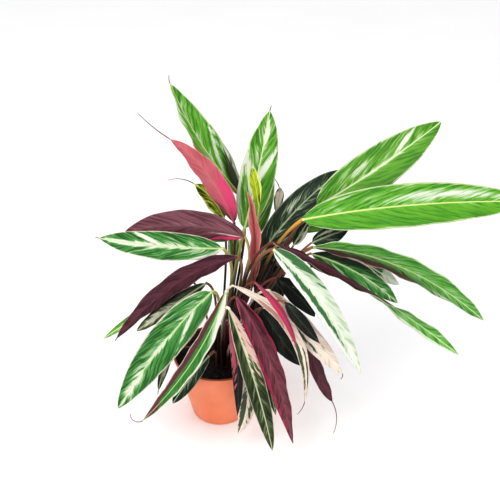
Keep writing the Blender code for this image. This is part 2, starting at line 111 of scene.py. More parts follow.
def close_skin(threshold):
    """Merge the seam of the active piece, close its open ends and turn its faces outward."""
    bpy.ops.object.mode_set(mode="EDIT")
    bpy.ops.mesh.select_all(action="SELECT")
    bpy.ops.mesh.remove_doubles(threshold=threshold)
    bpy.ops.mesh.fill_holes(sides=0)
    bpy.ops.mesh.select_all(action="SELECT")
    bpy.ops.mesh.normals_make_consistent(inside=False)
    bpy.ops.object.mode_set(mode="OBJECT")


def finish_piece(piece, node=None, smooth_angle=None):
    """Shade a finished piece smooth, hang it on the frame's root body, and hide the solid it stands for.
    """
    if smooth_angle is None:
        piece.data.shade_smooth()
    else:
        bpy.context.view_layer.objects.active = piece
        piece.select_set(True)
        bpy.ops.object.shade_smooth_by_angle(angle=math.radians(smooth_angle))
        piece.select_set(False)
    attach(piece, "root")
    if node:
        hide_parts(node)


# %% [markdown]
# ## The leaves' places and forms
# Each leaf stands where the solid model has it, so the same places are repeated here: the blade's
# base, middle and tip in millimetres, its width and its form. Where a leaf has them, its turn away
# from the light and the thread at its tip come last. New here are the tissues of its upper side,
# stem and underside, and its marks: cream, dark, blush or calm areas. Each mark has its middle and
# reach across the blade (-1 to 1, right is plus), then the middle and reach of the side veins that
# it follows (0 at the base, 1 at the tip). One more number, if there is one, is its strength.

# %% Leaf rows
Form = namedtuple("Form", "roundness fullness raise_left raise_right stem")
BROAD = Form(5.0, 3.7, 8, 8, 2.3)
OVAL = Form(3.4, 3.5, 8, 8, 1.9)
LANCE = Form(2.8, 2.4, 8, 8, 2.0)
SLENDER = Form(3.0, 3.0, 12, 12, 1.5)
SPEARHEAD = Form(4.5, 1.7, 8, 8, 2.0)
FOLDED_LEFT = Form(3.4, 2.3, 50, 5, 2.1)
CREASED_LEFT = Form(3.3, 3.0, 45, 10, 1.9)
FOLDED_RIGHT = Form(3.6, 3.5, 8, -20, 2.2)
CUPPED = Form(3.4, 4.0, 30, 30, 1.3)
ROLLED = Form(2.6, 2.6, 60, 60, 1.8)

Leaf = namedtuple("Leaf", "name base middle tip width form upper stem marks under turn tail",
                  defaults=((), "maroon", (0, 0), (0, 0)))
CREAM, DARK, BLUSH, CALM = range(4)
LEAVES = (
    Leaf("tall_left", (35, 45, 355), (-20, 55, 430), (-60, 60, 515), 56, FOLDED_LEFT,
         "lively", "tan", ((CREAM, 0.6, 0.6, 0.22, 0.06, 0.9), (CREAM, 0.6, 0.5, 0.02, 0.05, 0.9),
          (DARK, 0.9, 0.45, -0.32, 0.2), (DARK, 0.35, 0.45, 0.0, 0.18),
          (CREAM, 0.85, 0.35, -0.04, 0.14, 0.8), (CREAM, -0.8, 0.4, 0.75, 0.5, 0.6),
          (BLUSH, -0.9, 0.4, -0.1, 0.34)), under="salmon", turn=(15, 15), tail=(12, 35)),
    Leaf("pink_upper_left", (25, 20, 325), (-10, 0, 410), (-55, -15, 465), 36, SPEARHEAD,
         "mid", "red", ((BLUSH, -0.5, 1.3, 0.14, 0.35, 0.62), (DARK, 0.0, 2.0, -0.1, 0.2, 0.9)),
         under="salmon", turn=(145, 145), tail=(58, -15)),
    Leaf("olive_left", (10, 40, 320), (-5, 40, 350), (-30, 40, 375), 26, OVAL,
         "olive", "tan", ((CREAM, -0.95, 0.25, 0.2, 0.5, 0.5), (DARK, 0.35, 0.5, 0.25, 0.25)),
         turn=(10, 10), tail=(42, -50)),
    Leaf("purple_left", (40, -5, 315), (-40, -10, 335), (-125, -20, 330), 46, OVAL,
         "mid", "green", ((CREAM, 0.34, 0.12, -0.02, 0.2), (BLUSH, 0.85, 0.48, -0.12, 0.2)),
         under="purple", turn=(150, 150)),
    Leaf("green_left", (10, -30, 310), (-75, -40, 320), (-155, -45, 335), 41, BROAD,
         "mid", "green", ((CREAM, 0.5, 0.6, 0.5, 0.055), (CREAM, -0.05, 0.25, 0.95, 0.45),
          (CREAM, -0.7, 0.6, -0.12, 0.16), (CREAM, 0.2, 0.5, 0.4, 0.3, 0.15),
          (CREAM, 0.95, 0.2, -0.36, 0.16), (CREAM, 0.0, 0.2, 0.4, 0.4, 0.5)), turn=(10, 10),
         tail=(6, 0)),
    Leaf("maroon_left", (30, -35, 300), (-55, -60, 270), (-140, -75, 190), 36, LANCE,
         "mid", "tan", ((CREAM, 1.0, 0.1, 0.1, 0.5),), turn=(135, 135), tail=(6, 60)),
    Leaf("striped_left", (-15, -25, 250), (-65, -40, 220), (-115, -50, 185), 26, OVAL,
         "dusky", "tan", ((CREAM, 0.0, 1.2, 0.7, 0.5, 0.45), (DARK, 0.9, 0.35, 0.1, 0.5)),
         turn=(20, 20)),
    Leaf("green_lower_left", (-5, -55, 255), (-75, -75, 180), (-145, -90, 75), 52, BROAD,
         "mid", "green", ((CREAM, 1.0, 0.12, -0.2, 0.36), (CREAM, -0.45, 0.5, 0.16, 0.045, 0.75),
          (CREAM, 0.0, 0.8, 0.8, 0.35, 0.35), (CREAM, 0.0, 0.3, 0.5, 0.5, 0.25),
          (CALM, -0.6, 0.5, 0.0, 0.6))),
    Leaf("narrow_lower_left", (15, -70, 265), (-30, -95, 170), (-105, -115, 75), 27, CREASED_LEFT,
         "mid", "cream", ((CREAM, -0.85, 0.9, 0.0, 0.2, 1.2), (CREAM, -1.0, 0.16, 0.3, 0.7, 1.1),
          (CALM, 0.0, 1.2, 0.3, 0.8), (BLUSH, 0.85, 0.45, 0.4, 0.8), (BLUSH, 0.0, 1.2, 0.95, 0.14)),
         turn=(-15, -15), tail=(28, 150)),
    Leaf("dark_by_pot", (-10, -75, 160), (-40, -80, 120), (-65, -85, 80), 24, OVAL,
         "dark", "tan", ((CREAM, 0.3, 0.4, 0.5, 0.3, 0.1),)),
    Leaf("small_striped_left", (-65, -35, 140), (-80, -45, 110), (-90, -50, 75), 12, SLENDER,
         "dark", "tan", ((CREAM, -0.5, 0.5, 0.4, 0.4, 0.5),), tail=(8, 0)),
    Leaf("tall_centre", (40, 20, 315), (60, 35, 400), (75, 50, 480), 50, BROAD,
         "fresh", "green", ((CREAM, 0.5, 0.65, 0.42, 0.06, 1.1), (CREAM, -0.55, 0.6, 0.3, 0.06, 1.1),
          (CREAM, -0.98, 0.16, 0.0, 0.5), (CREAM, 0.1, 0.22, 0.8, 0.14, 0.9),
          (CREAM, -0.3, 0.6, 0.55, 0.14, 0.15), (CREAM, -0.5, 0.5, 0.0, 0.14, 0.1),
          (CALM, 0.6, 0.6, -0.05, 0.4)), turn=(10, 10), tail=(8, 15)),
    Leaf("lime_new", (60, 5, 360), (55, 10, 390), (50, 10, 415), 17, CUPPED,
         "lime", "green", ((DARK, 0.2, 0.8, -0.1, 0.3), (CREAM, 0.9, 0.2, 0.3, 0.5)), under="lime"),
    # Its dark area low on the right side is painted shade on the rolled blade.
    Leaf("pink_spike", (50, -10, 230), (55, -5, 310), (45, -5, 385), 30, ROLLED,
         "rose", "red", ((DARK, 0.8, 0.5, -0.1, 0.3, 0.8),), under="rose"),
    Leaf("dark_upper_right", (60, 10, 270), (115, 30, 340), (180, 45, 395), 44, BROAD,
         "dark", "green", ((CREAM, -0.45, 0.5, 0.35, 0.5, 0.14), (CREAM, 0.8, 0.3, 0.2, 0.5, 0.1)),
         turn=(-10, -10)),
    Leaf("bright_upper_right", (140, 0, 360), (220, 5, 415), (300, 10, 480), 60, BROAD,
         "fresh", "tan", ((CREAM, -0.45, 0.5, 0.64, 0.055, 0.85), (CREAM, -0.98, 0.2, -0.42, 0.2),
          (CREAM, -0.4, 0.5, 0.25, 0.35, 0.1), (CALM, 0.6, 0.65, 0.3, 0.9),
          (CREAM, 0.0, 0.2, 0.5, 0.5, 0.25))),
    Leaf("largest_right", (120, -20, 350), (265, -35, 380), (420, -45, 390), 60, BROAD,
         "lively", "orange", ((CREAM, -0.45, 0.5, 0.55, 0.5, 0.34), (CREAM, -1.0, 0.12, -0.2, 0.2),
          (CALM, 0.6, 0.7, 0.3, 0.9), (CALM, 0.0, 1.4, -0.3, 0.3))),
    Leaf("dark_under_right", (135, -5, 305), (160, -10, 320), (185, -10, 330), 26, SLENDER,
         "dark", "tan", ((CREAM, -0.5, 0.15, 0.3, 0.4),)),
    Leaf("dark_small_right", (110, 5, 295), (120, 5, 315), (130, 5, 335), 16, SLENDER,
         "dark", "tan", ((CREAM, 0.9, 0.3, 0.3, 0.5),)),
    Leaf("green_drooping_right", (135, -35, 315), (255, -55, 295), (370, -80, 225), 46, FOLDED_RIGHT,
         "grassy", "tan", ((DARK, 1.0, 1.0, -0.02, 0.5), (BLUSH, 1.0, 0.14, -0.1, 0.5, 1.2),
          (CREAM, 0.8, 0.4, 0.62, 0.3, 0.3)), turn=(45, 30)),
    Leaf("dark_green_right", (135, -10, 290), (200, -20, 265), (260, -30, 220), 34, OVAL,
         "mid", "tan", ((DARK, -0.6, 0.6, 0.0, 0.45), (CREAM, 1.0, 0.24, 0.2, 0.4)), turn=(25, 25)),
    Leaf("pale_behind_right", (190, 10, 280), (230, 5, 255), (265, -5, 235), 22, SLENDER,
         "minty", "tan", ((DARK, 0.0, 0.6, 0.5, 0.14),), turn=(10, 10)),
    Leaf("maroon_green_right", (80, -40, 325), (205, -70, 270), (335, -105, 185), 36, OVAL,
         "grassy", "red", ((CREAM, 0.95, 0.3, 0.7, 0.5, 0.9), (DARK, -0.95, 0.3, 0.3, 0.3)),
         turn=(120, -20)),
    Leaf("pale_right", (80, -50, 320), (140, -90, 270), (200, -120, 165), 33, BROAD,
         "minty", "tan", ((DARK, -0.5, 0.55, 0.0, 0.22, 1.05), (DARK, 0.5, 0.2, 0.4, 0.36),
          (CREAM, 0.95, 0.3, 0.3, 0.8), (CREAM, 0.0, 1.2, 0.95, 0.3, 0.4))),
    Leaf("dark_pink_edge", (125, -25, 290), (145, -35, 285), (165, -45, 275), 14, SLENDER,
         "black", "tan", ((BLUSH, -0.6, 0.7, 0.3, 0.6),), turn=(20, 20)),
    Leaf("cream_drape", (25, -55, 265), (105, -105, 225), (125, -120, 115), 17, SLENDER,
         "creamy", "cream", ((BLUSH, 0.3, 0.9, 0.3, 0.2, 0.8), (DARK, 0.5, 0.35, 0.65, 0.3),
          (DARK, -0.5, 0.2, 0.75, 0.2)), turn=(30, -20), tail=(26, 40)),
    Leaf("crimson_strip", (55, -70, 280), (90, -105, 255), (110, -120, 210), 11, SLENDER,
         "mid", "red", ((BLUSH, 0.0, 1.5, 0.5, 0.9),), under="crimson", turn=(150, 150)),
    Leaf("cream_striped_right", (75, -60, 260), (125, -95, 215), (175, -115, 160), 30, OVAL,
         "creamy", "cream", ((DARK, 0.5, 0.2, 0.35, 0.36, 0.7), (DARK, -0.35, 0.16, 0.5, 0.3, 0.7),
          (BLUSH, -0.2, 0.8, -0.15, 0.25)), turn=(10, 10), tail=(10, 100)),
    Leaf("dark_maroon_right", (85, -35, 265), (115, -40, 240), (140, -50, 210), 28, SLENDER,
         "black", "red"),
    Leaf("black_right", (95, -95, 265), (115, -110, 245), (140, -125, 220), 18, SLENDER,
         "black", "tan", ((CREAM, 0.95, 0.16, 0.3, 0.4, 0.4),)),
    Leaf("maroon_hanging_right", (115, -80, 220), (145, -95, 145), (165, -110, 105), 20, SLENDER,
         "mid", "red", turn=(160, 160), tail=(46, -60)),
    Leaf("black_front", (65, -45, 220), (85, -75, 200), (120, -85, 150), 34, OVAL,
         "black", "tan"),
    Leaf("crimson_hanging", (30, -70, 255), (75, -105, 175), (110, -125, 40), 34, LANCE,
         "mid", "red", ((BLUSH, -1.0, 0.36, 0.4, 0.5, 0.9), (BLUSH, 1.0, 0.16, 0.0, 0.4, 1.1),
          (DARK, 0.6, 0.6, 0.0, 0.3, 0.5)), under="crimson", turn=(155, 155)),
    Leaf("striped_hanging_front", (20, -90, 250), (55, -130, 155), (80, -145, 45), 28, OVAL,
         "dusky", "cream", ((BLUSH, -0.6, 0.6, -0.05, 0.34), (CREAM, -0.1, 0.2, 0.2, 0.5, 0.45),
          (CREAM, -0.5, 0.4, 0.3, 0.14, 0.35), (CREAM, 1.0, 0.12, 0.0, 0.4))),
    Leaf("pink_hanging", (20, -85, 225), (30, -100, 160), (30, -105, 75), 16, SLENDER,
         "black", "red", ((BLUSH, 0.4, 0.8, 0.1, 0.4),), under="crimson"),
    Leaf("cream_hanging", (35, -80, 190), (45, -90, 100), (30, -95, 30), 26, OVAL,
         "creamy", "cream", ((DARK, 0.4, 0.4, 0.7, 0.3), (DARK, -0.5, 0.3, 0.5, 0.3))),
    Leaf("olive_hanging", (50, -80, 220), (70, -100, 150), (85, -110, 80), 17, SLENDER,
         "dusky", "cream", ((CREAM, -0.6, 0.4, 0.5, 0.5),)),
    Leaf("grey_behind", (85, 40, 330), (90, 50, 350), (90, 50, 365), 14, SLENDER,
         "dusky", "tan", ((CREAM, 0.0, 1.4, 0.4, 0.6, 0.9),), under="purple", tail=(28, -30)),
    Leaf("small_behind_crown", (25, 30, 245), (25, 35, 275), (20, 35, 305), 20, SLENDER,
         "fresh", "cream", ((CREAM, -0.9, 0.35, 0.2, 0.6), (CREAM, 0.95, 0.25, 0.2, 0.6))),
    # A black leaf that is partly painted shade: it fills the dark gap at the crown's foot, which is
    # mostly shadow between the stems.
    Leaf("dark_inner", (95, 15, 195), (85, 20, 230), (75, 20, 265), 24, SLENDER,
         "black", "red"),
    Leaf("back_centre", (55, 40, 290), (65, 80, 340), (75, 125, 375), 38, BROAD,
         "fresh", "green", ((CREAM, 0.5, 0.6, 0.45, 0.05), (CREAM, -0.5, 0.6, 0.2, 0.04))),
    Leaf("back_right", (80, 50, 275), (125, 85, 300), (160, 125, 325), 40, BROAD,
         "mid", "tan", ((CREAM, -0.5, 0.7, 0.5, 0.06), (CREAM, 0.9, 0.2, 0.2, 0.4))),
    Leaf("back_left", (20, 50, 280), (-35, 75, 290), (-90, 100, 275), 40, BROAD,
         "mid", "tan", ((CREAM, 0.5, 0.7, 0.3, 0.05), (CREAM, -0.6, 0.5, 0.6, 0.08))),
    Leaf("back_far_right", (120, 20, 310), (185, 50, 325), (265, 75, 325), 36, BROAD,
         "fresh", "tan", ((CREAM, -0.4, 0.6, 0.45, 0.1, 0.5),)),
    Leaf("green_tip_left", (-40, -25, 255), (-105, -40, 212), (-165, -50, 170), 16, SLENDER,
         "fresh", "tan", turn=(20, 20)),
    Leaf("dark_behind_pale", (110, -35, 280), (130, -45, 270), (150, -55, 245), 18, SLENDER,
         "black", "red"),
    Leaf("back_low", (60, 40, 180), (85, 65, 225), (105, 95, 250), 44, BROAD,
         "dark", "red", ((CREAM, 0.4, 0.5, 0.4, 0.2, 0.1),)),
)
print("leaves:", len(LEAVES))

# %% [markdown]
# ## Midribs and outlines
# A blade hangs on its midrib, a curve through three points. Its outline is round at the base and
# drawn in to the tip, and its faces turn toward the light as far as the row's turn lets them. These
# are the solid model's own rules, so the fine leaves lie where the solids are.

# %% Midribs and outlines
LIGHT = np.array((0.0, -0.82, 0.57))
BASE_CURVE = 0.65
TIP_CURVE = 0.8
TIP_HALF_WIDTH = 0.7
EDGE_WAVE = 1.6
WAVE_SPACING = 48
WAVE_OFFSET = 1.3
WAVE_FADE = 10
TURN_DELAY = 3


def unit(vectors):
    """Vectors scaled to length one, along their last axis."""
    return vectors / np.linalg.norm(vectors, axis=-1, keepdims=True)


def ease(share):
    """A smooth step from 0 to 1."""
    share = np.clip(share, 0, 1)
    return share * share * (3 - 2 * share)


def midrib(leaf, steps):
    """Points of the curve through the leaf's base, middle and tip, with their directions."""
    base, middle, tip = (np.array(point, float) for point in (leaf.base, leaf.middle, leaf.tip))
    bend = 2 * middle - (base + tip) / 2
    t = np.asarray(steps, float)[:, None]
    points = (1 - t) ** 2 * base + 2 * t * (1 - t) * bend + t ** 2 * tip
    return points, unit((1 - t) * (bend - base) + t * (tip - bend))


def blade_length(leaf):
    """Length of the midrib."""
    points, _ = midrib(leaf, np.linspace(0, 1, 20))
    return float(np.linalg.norm(np.diff(points, axis=0), axis=1).sum())


def outline(form, t):
    """Relative width at a share t of the length."""
    return (1 - (1 - t) ** form.roundness) ** BASE_CURVE * (1 - t ** form.fullness) ** TIP_CURVE


def spine(leaf, t, tail_steps):
    """Midrib points, directions, blade normals and half widths, with the thread at the tip."""
    points, directions = midrib(leaf, t)
    facing = unit(LIGHT - directions * (directions @ LIGHT)[:, None])
    right = np.cross(directions, facing)
    turn = np.radians(leaf.turn[0] + (leaf.turn[1] - leaf.turn[0]) * t ** TURN_DELAY)[:, None]
    normals = facing * np.cos(turn) + right * np.sin(turn)
    widest = outline(leaf.form, np.linspace(0, 1, 50)).max()
    half = np.maximum(leaf.width / 2 * outline(leaf.form, t) / widest, TIP_HALF_WIDTH)
    length, curl = leaf.tail
    if not length:
        return points, directions, normals, half
    side = np.cross(directions[-1], normals[-1])
    places = []
    headings = []
    place = points[-1]
    for k in range(tail_steps):
        angle = math.radians(curl) * (k + 0.5) / tail_steps
        heading = directions[-1] * math.cos(angle) + side * math.sin(angle)
        place = place + heading * length / tail_steps
        places.append(place)
        headings.append(heading)
    points = np.vstack([points, places])
    directions = np.vstack([directions, headings])
    normals = np.vstack([normals, np.repeat(normals[-1:], tail_steps, axis=0)])
    return points, directions, normals, np.append(half, np.linspace(TIP_HALF_WIDTH, 0.3, tail_steps))


print("longest blade:", round(max(blade_length(leaf) for leaf in LEAVES)), "mm")

# %% [markdown]
# ## Stems
# More than forty stems leave the soil close together. Each starts as a curve from its foot to its
# blade, and then all of them push each other aside a little at a time until none touch. The rules
# and numbers are the solid model's, so the stems end up in the same places.

# %% Stem curves
SOIL_TOP = 98
ROOT_DEPTH = 10
STEM_POINTS = 36
STEM_RISE = 1.1
STEM_REACH = 0.55
STEM_GAP = 2.0
STEM_END_FREEDOM = (0.6, 0.3, 0.1, 0.0)
CLEARING_ROUNDS = 120
CLEARING_STEP = 0.6
EVENING_STEP = 0.3
CROWN_SPREAD = 0.32
CROWN_FORWARD = 8
FEET_RADIUS = 46


def stem_path(leaf):
    """Points from the foot of the stem, straight up out of the soil, round into the blade's base."""
    x = leaf.base[0] * CROWN_SPREAD
    y = leaf.base[1] * CROWN_SPREAD + CROWN_FORWARD
    shrink = min(1, FEET_RADIUS / math.hypot(x, y))
    foot = np.array((x * shrink, y * shrink, SOIL_TOP))
    base, first = midrib(leaf, [0.0])
    span = float(np.linalg.norm(base[0] - foot))
    rise = np.array((0.0, 0.0, 1.0)) * span * STEM_RISE
    reach = first[0] * span * STEM_REACH
    t = np.linspace(0, 1, STEM_POINTS)[:, None]
    return ((2 * t ** 3 - 3 * t ** 2 + 1) * foot + (t ** 3 - 2 * t ** 2 + t) * rise
            + (3 * t ** 2 - 2 * t ** 3) * base[0] + (t ** 3 - t ** 2) * reach)


def clear_stems(leaves):
    """Stem paths bent clear of each other, with their ends at the blades kept."""
    paths = np.stack([stem_path(leaf) for leaf in leaves])
    count, length, _ = paths.shape
    radius = np.repeat([leaf.form.stem for leaf in leaves], length)
    owner = np.repeat(np.arange(count), length)
    wanted = radius[:, None] + radius[None, :] + STEM_GAP
    others = owner[:, None] != owner[None, :]
    freedom = np.ones(length)
    freedom[-len(STEM_END_FREEDOM):] = STEM_END_FREEDOM
    for _ in range(CLEARING_ROUNDS):
        points = paths.reshape(-1, 3)
        away = points[:, None, :] - points[None, :, :]
        distance = np.linalg.norm(away, axis=2) + 1e-6
        lack = np.where(others, np.maximum(wanted - distance, 0), 0)
        push = (away * (lack / distance / 2)[..., None]).sum(1).reshape(count, length, 3)
        push[:, :3, 2] = 0
        paths = paths + push * freedom[None, :, None] * CLEARING_STEP
        evened = (paths[:, :-2] + paths[:, 2:]) / 2
        paths[:, 1:-1] += (evened - paths[:, 1:-1]) * EVENING_STEP * freedom[None, 1:-1, None]
        paths[:, 0, :2] = paths[:, 1, :2] = (paths[:, 0, :2] + paths[:, 1, :2]) / 2
        paths[:, 0, 2] = SOIL_TOP
        reach = np.linalg.norm(paths[:, :2, :2], axis=2, keepdims=True)
        paths[:, :2, :2] *= np.minimum(1, FEET_RADIUS / reach)
    return paths


stem_paths = clear_stems(LEAVES)
print("stems:", len(stem_paths), "mean foot:", np.round(stem_paths[:, 0].mean(0)))

# %% [markdown]
# ## One skin per leaf
# A real leaf is one piece from its root to its tip: a round stem that opens into a thin blade with a
# rib below. So each leaf here is a flat grid rolled up lengthwise into a tube. The rings of the tube
# are circles on the stem and thin waved lenses on the blade. The grid is a good start because its
# rows and columns give every point a place on the leaf, which the materials use for veins.

# %% Rings of a leaf
COLUMNS = 15
STATIONS = 52
TAIL_STEPS = 9
STEM_RINGS = 28
NECK = 5.0
BLADE_THICKNESS = 0.7
RIB_DEPTH = 1.4
RIB_WIDTH = 1.2
RIB_TIP_DEPTH = 0.2
GROOVE_DEPTH = 0.35
GROOVE_WIDTH = 1.1
BLADE_CROWN = 0.35
EDGE_THINNING = 0.3
THREAD_SHARE = 0.7
SMALL_WAVE = 0.35
SMALL_WAVES = 2.6
STEM_SHARE = 0.94
STEM_SWELLING = 0.12
KNEE_PLACE = 8
KNEE_REACH = 7
SHEATH_HEIGHT = 30
SHEATH_FADE = 40
STEM_STOP = 2
VEIN_SLOPE = 1.9
VEIN_BEND = 0.04
even = np.linspace(-1, 1, COLUMNS)
SPREAD = np.sign(even) * np.abs(even) ** 1.35
ACROSS = np.concatenate([SPREAD[::-1], SPREAD])
RING_ANGLES = math.pi * (np.arange(2 * COLUMNS) + 0.5) / COLUMNS
UPPER = np.where(np.arange(2 * COLUMNS) < COLUMNS, 1.0, -1.0)


def round_rings(points, rights, tangents, radii):
    """Circles round a path, one ring for each of its points."""
    rights = unit(rights - tangents * (rights * tangents).sum(1, keepdims=True))
    ups = np.cross(rights, tangents)
    cosines = np.cos(RING_ANGLES)[None, :, None]
    circle = rights[:, None] * cosines + ups[:, None] * np.sin(RING_ANGLES)[None, :, None]
    return points[:, None] + circle * np.asarray(radii)[:, None, None]


def stem_rings(leaf, path, direction, right):
    """Rings of the stem, from its root in the soil to the swollen knee just below the blade."""
    places = np.linspace(0, len(path) - 1, STEM_RINGS)
    points = np.stack([np.interp(places, np.arange(len(path)), path[:, k]) for k in range(3)], 1)
    points[-1] -= direction * STEM_STOP
    points = np.vstack([points[0] - (0, 0, ROOT_DEPTH), points])
    tangents = np.gradient(points, axis=0)
    tangents[-1] = direction
    tangents = unit(tangents)
    tangents[:2] = (0, 0, 1)
    rights = [right]
    for tangent in tangents[-2::-1]:
        turned = rights[-1] - tangent * (rights[-1] @ tangent)
        rights.append(turned / np.linalg.norm(turned))
    rights = np.array(rights[::-1])
    steps = np.linalg.norm(np.diff(points, axis=0), axis=1)
    left = np.append(np.cumsum(steps[::-1])[::-1], 0)
    knee = STEM_SWELLING * np.exp(-((left - KNEE_PLACE) / KNEE_REACH) ** 2)
    sheath = STEM_SWELLING * ease((ROOT_DEPTH + SHEATH_HEIGHT - (left[0] - left)) / SHEATH_FADE)
    radii = leaf.form.stem * (STEM_SHARE + knee + sheath)
    return round_rings(points, rights, tangents, radii), -left


def blade_rings(leaf, t, rng):
    """Rings of the blade: a waved surface with a groove above its rib and the rib below."""
    points, directions, normals, half = spine(leaf, t, TAIL_STEPS)
    right = np.cross(directions, normals)
    length = blade_length(leaf)
    steps = np.linalg.norm(np.diff(points, axis=0), axis=1)
    along = np.append(0, np.cumsum(steps))
    share = np.append(t, np.ones(len(points) - len(t)))[:, None]
    waves = max(2, round(length / WAVE_SPACING))
    side = np.sign(ACROSS)[None, :]
    lift = np.radians(np.where(side > 0, leaf.form.raise_right, leaf.form.raise_left)) * np.abs(side)
    level = np.cos(lift)[..., None]
    raised = np.sin(lift)[..., None]
    sideways = right[:, None] * side[..., None]
    outward = sideways * level + normals[:, None] * raised
    local = normals[:, None] * level - sideways * raised
    x = ACROSS[None, :] * half[:, None]
    fade = np.clip((half - TIP_HALF_WIDTH) / WAVE_FADE, 0, 1)[:, None]
    wave = EDGE_WAVE * np.sin(2 * math.pi * waves * share + side * WAVE_OFFSET + leaf.width)
    ripple = 2 * math.pi * waves * (SMALL_WAVES + side * 0.3) * share
    small = SMALL_WAVE * np.sin(ripple + rng.uniform(0, 6))
    crown = BLADE_CROWN * np.sin(math.pi * np.abs(ACROSS))[None, :]
    height = (wave + small) * ACROSS[None, :] ** 2 * fade + crown * fade
    surface = points[:, None] + outward * np.abs(x)[..., None] + local * height[..., None]
    rib_width = RIB_WIDTH * (1.1 - 0.6 * share)
    rib = RIB_TIP_DEPTH + (RIB_DEPTH - RIB_TIP_DEPTH) * (1 - share) ** 0.6
    rib = rib * np.exp(-(x / rib_width) ** 2)
    groove = GROOVE_DEPTH * (1 - share) * np.exp(-(x / GROOVE_WIDTH) ** 2) * fade
    thickness = BLADE_THICKNESS / 2 * (1 - EDGE_THINNING * ACROSS[None, :] ** 2)
    thickness = thickness * np.where(share < 1, 1, THREAD_SHARE)
    offset = np.where(UPPER[None, :] > 0, thickness - groove, -thickness - rib)
    rings = surface + local * offset[..., None]
    neck = ease(along / NECK)[:, None, None]
    circles = round_rings(points, right, directions, np.full(len(points), leaf.form.stem * STEM_SHARE))
    return circles * (1 - neck) + rings * neck, x, along, share[:, 0]


def mark_fields(leaf, x, along, length):
    """How far inside a cream, dark, blush or calm area each point lies, from -1 outside to 1."""
    origin = (along[:, None] - np.abs(x) * VEIN_SLOPE - x * x * VEIN_BEND) / length
    fields = np.full((4,) + origin.shape, -1.0)
    for kind, middle, reach, vein, spread, *strength in leaf.marks:
        far = np.hypot((ACROSS[None, :] - middle) / reach, (origin - vein) / spread)
        inside = (strength or [1.0])[0] - far
        fields[kind] = np.maximum(fields[kind], inside)
    return np.moveaxis(np.clip(fields, -1, 1), 0, -1)


stations = np.linspace(0, 1, STATIONS + 1)
along_steps = 0.6 * stations + 0.4 * (0.5 - 0.5 * np.cos(math.pi * stations))
print("points on one ring:", 2 * COLUMNS)


# %% [markdown]
# ## Leaf tissue
# The living tissue is thin, waxy and streaked along its side veins, which leave the midrib at a
# slant. The material finds the vein that a point lies on, and draws all noise stretched along it:
# light and deep green, pale strokes beside the rib, and the feathered edges of the cream areas. The
# pleats between side veins are a bump. Undersides use the same rules in maroon and pink.

# %% Leaf materials
# Each tissue has one tone for each of these parts, and then its contrast.
PARTS = ("deep", "fresh", "mint", "pale", "shade", "blush", "rib", "edge")
TISSUES = {
    "fresh": ("3A7E1E 68A82E ACCA90 E6EADA 1E220A CE5C56 E2F0BC E4ECC8", 0.9),
    "lively": ("33841C 6AB02C B2D29E E6EADA 28380C CC5A54 E4F09C DCEAB4", 0.8),
    "grassy": ("387E2A 6AB04A A8CC96 E4E8D4 41141E B03A46 CEE6A0 DCE6C0", 0.7),
    "mid": ("245E20 4A9242 A8C69A EAEADC 0C1A0C 6A2A3C CCE4A4 EEE6D0", 0.85),
    "dark": ("0B150A 223C20 6C8264 C8CCB2 070B07 A03C4A B4C49C 98A488", 0.9),
    # The black tissue is partly painted shade: dark leaves deep in the crown, in tones as they look in
    # shadow.
    "black": ("040504 0C120B 2A3426 C4C0AC 030403 CC6474 2C382A 3A4232", 0.7),
    "dusky": ("182410 3A4A24 6E7A54 E8E2CE 0E140A E2BAB0 CCD2A8 C0BEA0", 0.7),
    "olive": ("3A4406 9CAE18 C8D050 EEEAC0 262A06 CE5C56 D6DC70 DCDC88", 1.0),
    "lime": ("849C0A B4C81A DEE664 EEF0B4 3A420A CE5C56 DDE860 E2E87C", 0.6),
    "creamy": ("DCC8B6 F0E0D2 F6ECE0 FAF4EA 2C441C B88A7C F2E6D0 F6EADE", 0.8),
    "minty": ("B8CAAC DAE4D0 E8EDE0 F3F4EC 226A2A D49C8E E8F2D4 F6F6EA", 0.8),
    "rose": ("C46E6E E08C88 EEB0A4 F4CABC 84384A E05070 DE8E8A E49C96", 0.3),
    "salmon": ("B8545E D4707A E08C8C B4D090 3A101A EA4E80 D87A7C DE968A", 0.3),
    "crimson": ("542630 823E4C A4606C EAB4B4 34141C CC2E5E 8E4A5C B04A64", 0.5),
    "purple": ("5C323C 87545E A47A80 F6DCD2 331219 E6487A 8A5A64 845660", 0.5),
    "maroon": ("36141E 5E2E3A 784450 E6C0B4 240A12 BE3A5A 653240 6C3844", 0.5),
}
TONES = (("fresh", 0.38, 0.56), ("mint", 0.58, 0.74), ("pale", 0.72, 0.9))
STEM_TONES = {"tan": ("281610", "8A6242"), "red": ("280F0B", "74362C"), "orange": ("3A2014", "D69C46"),
              "green": ("34281A", "C0BE70"), "cream": ("34221A", "F4E8D0")}
THREAD = "74464A"
LEAF_SHARE = 0.82
WAVER_SCALE = 0.07
WAVER_REACH = 12.0
STREAKS = ((0.75, 0.12), (0.4, 0.5))
MIDDLE_TONE = 0.48
CALM_TONE = 0.47
STREAK_LIFT = 1.3
FINE_LIFT = 0.5
RIB_LIFT = 0.16
SEED_STEP = 3.7
SIDE_SEED = 4.3
RIM_RAGGEDNESS = 0.14
PLEAT_WIDTH = 1.5
FINE_RELIEF = 1.2

# Ranges of the masks, by the node's input numbers: between 1 and 2 the mask goes from 3 to 4
NEAR_RIB = {1: 0.7, 2: 0.05}
CALM_AREA = {1: -0.2, 2: 0.4, 4: 0.6}
STEADYING = {2: 0.6, 3: 1.0, 4: 0.15}
CREAM_AREA = {1: -0.35, 2: 0.5, 4: 0.52}
MARK_AREA = {1: -0.15, 2: 0.2, 4: 0.95}
RIB_HALF_WIDTH = {3: 1.6, 4: 0.8}
RIB_LINE = {1: 1.15, 2: 0.45, 4: 0.9}
RIM_LINE = {1: 0.98, 2: 1.03, 4: 0.85}
THREAD_LINE = {1: 1.02, 2: 1.1}


